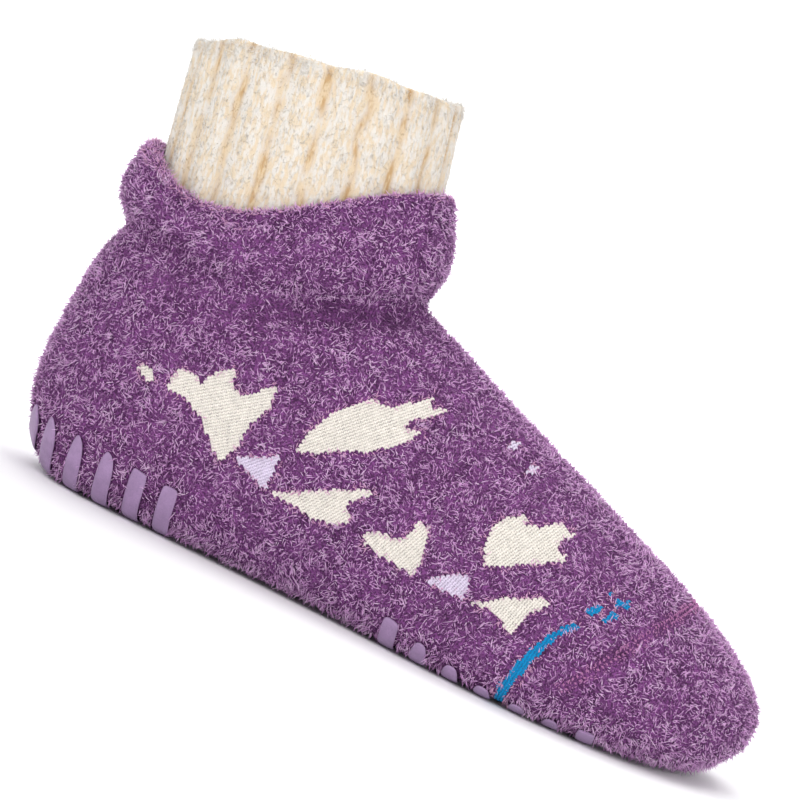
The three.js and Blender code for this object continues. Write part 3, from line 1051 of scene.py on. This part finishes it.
class SOCK_OT_stage(bpy.types.Operator):
    """Sets the pale floor, the soft lights and the tilted side view"""

    bl_idname = "sock.stage"
    bl_label = "Stage and Camera"

    def execute(self, context):
        self.sweep()
        self.lights()
        self.camera(context)
        return {"FINISHED"}

    def sweep(self):
        """A paper floor that curves up into a wall behind the sock."""
        bm = bmesh.new()
        bmesh.ops.create_grid(bm, x_segments=1, y_segments=1, size=3)
        back = [edge for edge in bm.edges if all(vert.co.y > 2.9 for vert in edge.verts)]
        wall = bmesh.ops.extrude_edge_only(bm, edges=back)
        wall_top = [item for item in wall["geom"] if isinstance(item, bmesh.types.BMVert)]
        bmesh.ops.translate(bm, verts=wall_top, vec=(0, 0, 4))
        corner = [edge for edge in bm.edges if len(edge.link_faces) == 2]
        bmesh.ops.bevel(bm, geom=corner, offset=1.5, segments=24, profile=0.5, affect="EDGES", material=-1)
        bmesh.ops.recalc_face_normals(bm, faces=bm.faces)
        mesh = mesh_from(bm, "paper_sweep")
        sweep = bpy.data.objects.new("paper_sweep", mesh)
        mesh.materials.append(backdrop_material())
        bpy.context.scene.collection.objects.link(sweep)

    def lights(self):
        target = Vector((-0.02, 0, 0.06))
        area_light("key_light", Vector((-0.7, -1.3, 1.2)), target, 1.2, 16)
        area_light("fill_light", Vector((0.9, -1.2, 0.4)), target, 1.2, 12)
        area_light("top_light", Vector((0.1, 0.3, 1.6)), target, 1.2, 9)
        area_light("wall_light", Vector((0, 0.6, 1.9)), Vector((0, 3, 1.0)), 1.6, 60)
        world = bpy.data.worlds.new("studio_air")
        world.use_nodes = True
        world.node_tree.nodes["Background"].inputs["Color"].default_value = (1, 1, 1, 1)
        world.node_tree.nodes["Background"].inputs["Strength"].default_value = 0.6
        bpy.context.scene.world = world

    def camera(self, context):
        target = Vector((-0.0158, 0, 0.0645))
        azimuth, elevation, roll = math.radians(8), math.radians(4), math.radians(24.5)
        lens, width_seen = 140, 0.2384
        distance = width_seen * lens / 36
        back = Vector((math.sin(azimuth), -math.cos(azimuth), 0)) * math.cos(elevation)
        back.z = math.sin(elevation)
        camera = bpy.data.cameras.new("side_view")
        camera.lens = lens
        camera.clip_end = 20
        obj = bpy.data.objects.new("side_view", camera)
        turn = (-back).to_track_quat("-Z", "Y").to_matrix() @ Matrix.Rotation(roll, 3, "Z")
        obj.matrix_world = Matrix.Translation(target + back * distance) @ turn.to_4x4()
        context.scene.collection.objects.link(obj)
        context.scene.camera = obj
        context.scene.view_settings.view_transform = "Standard"


STEPS = (
    SOCK_OT_ground,
    SOCK_OT_motifs,
    SOCK_OT_toe_seam,
    SOCK_OT_pile,
    SOCK_OT_cuff,
    SOCK_OT_wool,
    SOCK_OT_grips,
    SOCK_OT_stage,
)


class SOCK_PT_panel(bpy.types.Panel):
    """Lists the sock's pieces, sizes and colours"""

    bl_idname = "SOCK_PT_panel"
    bl_label = "Slipper Sock"
    bl_space_type = "VIEW_3D"
    bl_region_type = "UI"
    bl_category = "Sock"

    def draw(self, context):
        layout = self.layout
        for step in STEPS:
            layout.operator(step.bl_idname)
        for group in (context.scene.sock_sizes, context.scene.sock_colours):
            box = layout.box()
            for name in group.__annotations__:
                box.prop(group, name)


CLASSES = (SockSizes, SockColours, *STEPS, SOCK_PT_panel)


def register():
    for cls in CLASSES:
        bpy.utils.register_class(cls)
    bpy.types.Scene.sock_sizes = PointerProperty(type=SockSizes)
    bpy.types.Scene.sock_colours = PointerProperty(type=SockColours)


def unregister():
    del bpy.types.Scene.sock_sizes
    del bpy.types.Scene.sock_colours
    for cls in reversed(CLASSES):
        bpy.utils.unregister_class(cls)


def main():
    register()
    for step in STEPS:
        group, name = step.bl_idname.split(".")
        getattr(getattr(bpy.ops, group), name)()


if __name__ == "__main__":
    main()
